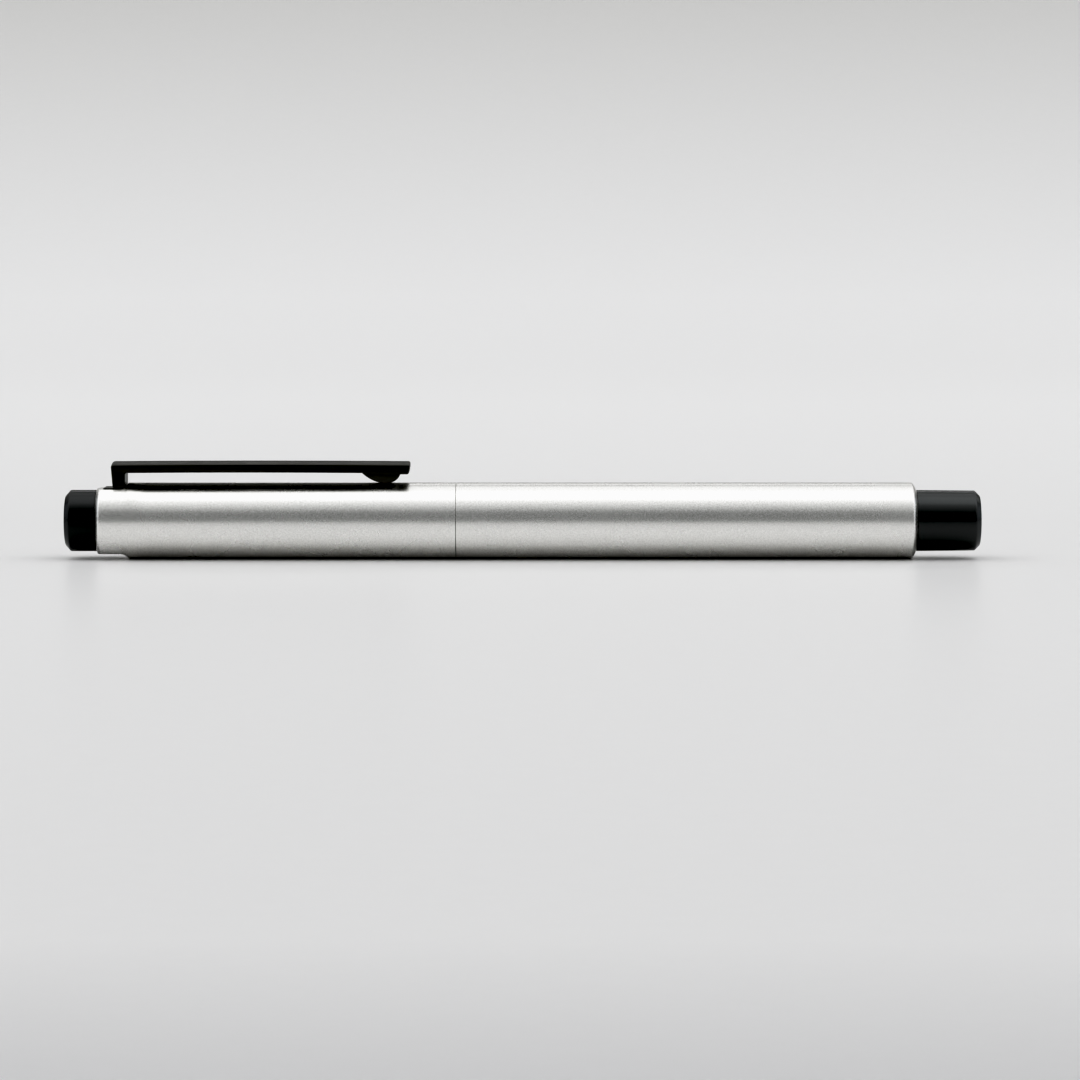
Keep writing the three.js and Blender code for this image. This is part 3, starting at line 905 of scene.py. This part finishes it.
def nib_metal():
    """The nib's stepped collar, its drawing tube and the wire that cleans it."""
    start, end, radius = span("nib_body")
    bore_r = span("nib_tube")[2] + NIB_TUBE_PLAY
    lathe_part("nib_body", [
        (start, bore_r, 0.01),
        (start, NIB_TIP_R, 0.06),
        (start + NIB_STEP, NIB_STEP_R, 0.05),
        (start + NIB_COLLAR_START, radius, 0.08),
        (end, radius, 0.08),
        (end, bore_r, 0.01),
    ])
    start, end, radius = span("nib_tube")
    lathe_part("nib_tube", [
        (start, radius - NIB_TUBE_WALL, 0.02),
        (start, radius, 0.04),
        (end, radius, 0.02),
        (end, radius - NIB_TUBE_WALL, 0.02),
    ])
    start, end, radius = span("cleaning_wire")
    lathe_part("cleaning_wire", [(start, 0), (start, radius, 0.03), (end, radius), (end, 0)])


# ---------------------------------------------------------------- hidden inner pieces

SEAL_CUP_BORE_R = 3.1
SEAL_CUP_FLOOR = 1.5
NIB_SEAL_BORE_R = 2.85


def sealing_cup():
    start, end, radius = span("inner_cap")
    lathe_part("inner_cap", [
        (start, 0),
        (start, radius, 0.5),
        (end, radius, 0.2),
        (end, SEAL_CUP_BORE_R, 0.2),
        (start + SEAL_CUP_FLOOR, SEAL_CUP_BORE_R, 0.6),
        (start + SEAL_CUP_FLOOR, 0),
    ])
    sleeve("nib_seal", NIB_SEAL_BORE_R, 0.08, 0.08)


CARTRIDGE_R = 2.9
CARTRIDGE_FLOOR = 1
CARTRIDGE_FLOOR_R = 2.4
CARTRIDGE_FLOOR_BEVEL = 0.5
CARTRIDGE_END_R = 2.5
CARTRIDGE_SEAL_BORE_R = 1.1


def cartridge():
    """Translucent ink tank with a domed rear end, and the seal in its mouth."""
    start, end, radius = span("ink_cartridge")
    floor = end - CARTRIDGE_FLOOR
    lathe_part("ink_cartridge", [
        (floor, 0),
        (floor, CARTRIDGE_FLOOR_R, 0.3),
        (floor - CARTRIDGE_FLOOR_BEVEL, CARTRIDGE_R, 0.3),
        (start, CARTRIDGE_R, 0.1),
        (start, radius, 0.15),
        (floor, radius, 0.8),
        (end, CARTRIDGE_END_R, 0.5),
        (end, 0),
    ])
    sleeve("cartridge_seal", CARTRIDGE_SEAL_BORE_R, 0.1, 0.1)


PLUG_BORE_R = 0.5
WEIGHT_END_R = 1.2
WEIGHT_BEVEL = 0.4


def weight_and_plug():
    sleeve("nib_plug", PLUG_BORE_R, 0.08, 0.1)
    start, end, radius = span("drop_weight")
    lathe_part("drop_weight", [
        (start, 0),
        (start, WEIGHT_END_R, 0.1),
        (start + WEIGHT_BEVEL, radius, 0.1),
        (end - WEIGHT_BEVEL, radius, 0.1),
        (end, WEIGHT_END_R, 0.1),
        (end, 0),
    ])


FEED_FINS = 10
FEED_START = 1.2
FEED_FIN_R = 2.4
FEED_CORE_R = 1.5
FEED_PITCH = 1.6
FEED_NOSE = 7
FEED_NOSE_R = 1
FEED_TIP = 0.4
FEED_TIP_R = 0.7


def ink_feed():
    """Row of fins, then a thin nose that reaches into the cartridge."""
    start, end, _ = span("ink_feed")
    outline = [(start, 0), (start, FEED_FIN_R, 0.15)]
    for fin in range(FEED_FINS):
        x = start + FEED_START + fin * FEED_PITCH
        outline += [
            (x, FEED_FIN_R, 0.08),
            (x, FEED_CORE_R, 0.08),
            (x + FEED_PITCH / 2, FEED_CORE_R, 0.08),
            (x + FEED_PITCH / 2, FEED_FIN_R, 0.08),
        ]
    outline += [
        (end - FEED_NOSE, FEED_FIN_R, 0.15),
        (end - FEED_NOSE, FEED_NOSE_R, 0.2),
        (end - FEED_TIP, FEED_NOSE_R, 0.1),
        (end, FEED_TIP_R, 0.1),
        (end, 0),
    ]
    lathe_part("ink_feed", outline)


SPRING_WIRE_R = 0.17
SPRING_TURNS = 3
SPRING_STEPS = 150
SPRING_SIDES = 12
SPRING_SHARP_DEGREES = 50


def seal_spring():
    """Coil spring behind the sealing cup; it shortens towards its fixed end as the cup gives way."""
    start, end, outer = span("seal_spring")
    coil_r = outer - SPRING_WIRE_R
    rise = end - start - 2 * SPRING_WIRE_R
    mesh_data = bmesh.new()
    rings = []
    for step in range(SPRING_STEPS + 1):
        t = step / SPRING_STEPS
        turn = 2 * math.pi * SPRING_TURNS * t
        ring = []
        for side in range(SPRING_SIDES):
            angle = 2 * math.pi * side / SPRING_SIDES
            x = start + SPRING_WIRE_R + rise * t + SPRING_WIRE_R * math.sin(angle)
            r = coil_r + SPRING_WIRE_R * math.cos(angle)
            ring.append(new_point(mesh_data, x, r * math.cos(turn), r * math.sin(turn)))
        rings.append(ring)
    join_rings(mesh_data, rings)
    mesh_data.faces.new(rings[0][::-1])
    mesh_data.faces.new(rings[-1])
    piece = node_piece("seal_spring", mesh_data, SPRING_SHARP_DEGREES)
    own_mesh(piece)


def dress_clip_screws():
    """The clip's two hidden screws stay CAD nodes; only their finish is changed."""
    for node in ("clip_screw_left", "clip_screw_right"):
        for material_slot in frame["nodes"][node].material_slots:
            material_slot.material = LOOKS[SLOT_OF_NODE[node]]


# ---------------------------------------------------------------- stage, light and camera

FLOOR_HALF = 3.0
FLOOR_FRONT = -3.0
FLOOR_MIDDLE = 0.2
SWEEP_START = 0.85
SWEEP_R = 0.9
SWEEP_STEPS = 24
WALL_TOP = 1.9
PAPER_DARK = (0.924, 0.920, 0.920)
PAPER_LIGHT = (0.932, 0.928, 0.928)
PAPER_GRAIN_MM = 3
# Painted shade on the paper: each span, in metres along Y or up Z, ramps the colour towards the painted shade
# listed after it.
FRONT_PAINTED_SHADE_SPAN = (-0.46, -0.350)
FRONT_PAINTED_SHADE = (0.600, 0.602, 0.615)
NEAR_PAINTED_SHADE_SPAN = (0.08, 0.5)
NEAR_PAINTED_SHADE = 0.893
BACK_PAINTED_SHADE_SPAN = (0.015, 0.14)
BACK_PAINTED_SHADE = (0.700, 0.697, 0.687)
HIGH_PAINTED_SHADE_SPAN = (0.16, 0.40)
HIGH_PAINTED_SHADE = 0.5


def paper_with_painted_shade():
    """Pale semi-gloss paper whose colour carries painted shade: darker at the front and up the wall, and
    palest behind the pen, standing in for how the light falls off.
    """
    look = Look("sweep", Roughness=0.33, Specular_IOR_Level=0.7)
    paper = look.noise(PAPER_GRAIN_MM, detail=4)
    colour = look.two_colours(look.remap(paper, (0, 1)), PAPER_DARK, PAPER_LIGHT)
    axes = look.add("ShaderNodeSeparateXYZ")
    look.link(look.place, axes.inputs["Vector"])
    # Each pass multiplies the paper's colour by a painted shade that ramps over its span.
    for axis, shade_span, first, last in (
        ("Y", FRONT_PAINTED_SHADE_SPAN, FRONT_PAINTED_SHADE, grey(1)),
        ("Y", NEAR_PAINTED_SHADE_SPAN, grey(NEAR_PAINTED_SHADE), grey(1)),
        ("Z", BACK_PAINTED_SHADE_SPAN, grey(1), BACK_PAINTED_SHADE),
        ("Z", HIGH_PAINTED_SHADE_SPAN, grey(1), grey(HIGH_PAINTED_SHADE)),
    ):
        mix = look.add("ShaderNodeMix", data_type="RGBA", blend_type="MULTIPLY")
        mix.inputs["Factor"].default_value = 1.0
        look.link(colour, mix.inputs["A"])
        painted_shade = look.two_colours(look.remap(axes.outputs[axis], (0, 1), shade_span), first, last)
        look.link(painted_shade, mix.inputs["B"])
        colour = mix.outputs["Result"]
    look.colour(colour)
    return look.material


def stage():
    """Seamless sweep: floor, quarter-round and wall."""
    section = [(FLOOR_FRONT, 0), (-FLOOR_MIDDLE, 0), (FLOOR_MIDDLE, 0), (SWEEP_START, 0)]
    for step in range(1, SWEEP_STEPS + 1):
        angle = math.pi / 2 * step / SWEEP_STEPS
        section.append((SWEEP_START + SWEEP_R * math.sin(angle), SWEEP_R * (1 - math.cos(angle))))
    section.append((SWEEP_START + SWEEP_R, WALL_TOP))
    mesh_data = bmesh.new()
    rows = [[mesh_data.verts.new((x, y, z)) for x in (-FLOOR_HALF, FLOOR_HALF)] for y, z in section]
    for first, second in zip(rows, rows[1:]):
        mesh_data.faces.new((first[0], first[1], second[1], second[0]))
    mesh = bpy.data.meshes.new("sweep")
    mesh_data.to_mesh(mesh)
    mesh_data.free()
    mesh.shade_smooth()
    mesh.materials.append(paper_with_painted_shade())
    floor = bpy.data.objects.new("sweep", mesh)
    bpy.context.scene.collection.objects.link(floor)


def softbox(name, place, aim, size, radiance, tint=(1, 1, 1)):
    """Rectangular lamp at a place, facing a point; radiance is how bright its face looks."""
    data = bpy.data.lights.new(name, "AREA")
    data.shape = "RECTANGLE"
    data.size, data.size_y = size
    data.energy = radiance * math.pi * size[0] * size[1]
    data.color = tint
    lamp = bpy.data.objects.new(name, data)
    lamp.location = place
    lamp.rotation_euler = (Vector(aim) - Vector(place)).to_track_quat("-Z", "Y").to_euler()
    lamp.visible_camera = False
    bpy.context.scene.collection.objects.link(lamp)


LAMP_HEIGHT = 0.74
LAMP_WIDTH = 3.0
OVERHEAD_STRIPS = (
    ("back_far", 1.00, 1.50, 1.10),
    ("back_near", 0.62, 1.00, 0.30),
    ("overhead_back", 0.20, 0.62, 0.79),
    ("overhead_front", -0.30, 0.20, 1.15),
    ("front_near", -0.52, -0.30, 0.58),
    ("front_middle", -0.74, -0.52, 0.36),
    ("front_far", -1.06, -0.74, 0.20),
)
CARD_OUT = 1.3
CARD_Y = 0.35
CARD_HEIGHT = 0.30
CARD_AIM_HEIGHT = 0.1
CARD_SIZE = (1.3, 0.5)
CARD_RADIANCE = 0.45
CARD_TINT = (0.95, 1.0, 1.08)
FRONT_CARD_OUT = 1.1
FRONT_CARD_Y = -0.9
FRONT_CARD_HEIGHT = 0.50
FRONT_CARD_SIZE = (1.2, 0.9)
FRONT_CARD_RADIANCE = 0.35


def lights():
    """One overhead light in (name, nearest Y, farthest Y, radiance) strips, and cards round the pen."""
    for name, near, far, radiance in OVERHEAD_STRIPS:
        middle = (near + far) / 2
        softbox(name, (0, middle, LAMP_HEIGHT), (0, middle, 0), (LAMP_WIDTH, far - near), radiance)
    for name, side in (("left_card", -1), ("right_card", 1)):
        softbox(
            name, (CARD_OUT * side, CARD_Y, CARD_HEIGHT), (0, CARD_Y, CARD_AIM_HEIGHT),
            CARD_SIZE, CARD_RADIANCE, CARD_TINT,
        )
        softbox(
            name + "_front", (FRONT_CARD_OUT * side, FRONT_CARD_Y, FRONT_CARD_HEIGHT), (0, 0, 0),
            FRONT_CARD_SIZE, FRONT_CARD_RADIANCE,
        )


ROOM_LIGHT = (0.97, 0.985, 1.0)
ROOM_STRENGTH = 0.285
ROOM_BEHIND_SWEEP = (0.72, 0.725, 0.73)


def room():
    """Even light from all round, and a plain grey where the camera sees past the sweep."""
    world = bpy.data.worlds.new("room")
    world.use_nodes = True
    tree = world.node_tree
    light = tree.nodes["Background"]
    light.inputs["Color"].default_value = (*ROOM_LIGHT, 1)
    light.inputs["Strength"].default_value = ROOM_STRENGTH
    seen = tree.nodes.new("ShaderNodeBackground")
    seen.inputs["Color"].default_value = (*ROOM_BEHIND_SWEEP, 1)
    path = tree.nodes.new("ShaderNodeLightPath")
    mix = tree.nodes.new("ShaderNodeMixShader")
    tree.links.new(path.outputs["Is Camera Ray"], mix.inputs["Fac"])
    tree.links.new(light.outputs["Background"], mix.inputs[1])
    tree.links.new(seen.outputs["Background"], mix.inputs[2])
    tree.links.new(mix.outputs["Shader"], tree.nodes["World Output"].inputs["Surface"])
    bpy.context.scene.world = world


BLACK_LEVEL = (0.046, 0.046, 0.0475)
CONTRAST = 1.5
CONTRAST_PIVOT = 0.3
WHITE_LEVEL = 0.975
FILM_STEPS = 12
COMBINED_CURVE = 3


def film_response(value):
    """Contrasty print curve: steeper at the pivot, with a toe below it and a shoulder above."""
    if value < CONTRAST_PIVOT:
        return WHITE_LEVEL * CONTRAST_PIVOT * (value / CONTRAST_PIVOT) ** CONTRAST
    return WHITE_LEVEL * (1 - (1 - CONTRAST_PIVOT) * ((1 - value) / (1 - CONTRAST_PIVOT)) ** CONTRAST)


def film():
    """Plain display transform with the deep blacks and firm contrast of a product photograph."""
    settings = bpy.context.scene.view_settings
    settings.view_transform = "Standard"
    settings.use_curve_mapping = True
    mapping = settings.curve_mapping
    mapping.black_level = BLACK_LEVEL
    mapping.extend = "HORIZONTAL"
    points = mapping.curves[COMBINED_CURVE].points
    for step in range(1, FILM_STEPS):
        points.new(step / FILM_STEPS, film_response(step / FILM_STEPS))
    points[len(points) - 1].location = (1, WHITE_LEVEL)
    mapping.update()


LENS = 150
SENSOR = 36
CAMERA_DISTANCE = 0.690
CAMERA_ELEVATION = math.radians(4.5)
CAMERA_NEAR = 0.05
CAMERA_FAR = 20
AIM_X = 2.65 * MM
AIM_BELOW_AXIS = 3.0 * MM


def camera():
    data = bpy.data.cameras.new("camera")
    data.lens = LENS
    data.sensor_width = SENSOR
    data.clip_start = CAMERA_NEAR
    data.clip_end = CAMERA_FAR
    item = bpy.data.objects.new("camera", data)
    aim = Vector((AIM_X, 0, AXIS_Z * MM - AIM_BELOW_AXIS))
    back = Vector((0, -math.cos(CAMERA_ELEVATION), math.sin(CAMERA_ELEVATION)))
    item.location = aim + back * CAMERA_DISTANCE
    item.rotation_mode = "QUATERNION"
    item.rotation_quaternion = (-back).to_track_quat("-Z", "Y")
    bpy.context.scene.collection.objects.link(item)
    bpy.context.scene.camera = item


KNOB_RING_BORE_R = 3.2
SECTION_RING_BORE_R = 4.15

cap_tube()
barrel_tube()
cap_finial()
rear_knob()
o_ring("rear_knob_ring", KNOB_RING_BORE_R)
o_ring("section_o_ring", SECTION_RING_BORE_R)
clip()
clip_base_plate()
grip_section()
nib_holder()
nib_metal()
sealing_cup()
cartridge()
weight_and_plug()
ink_feed()
seal_spring()
dress_clip_screws()
stage()
lights()
room()
film()
camera()

import json
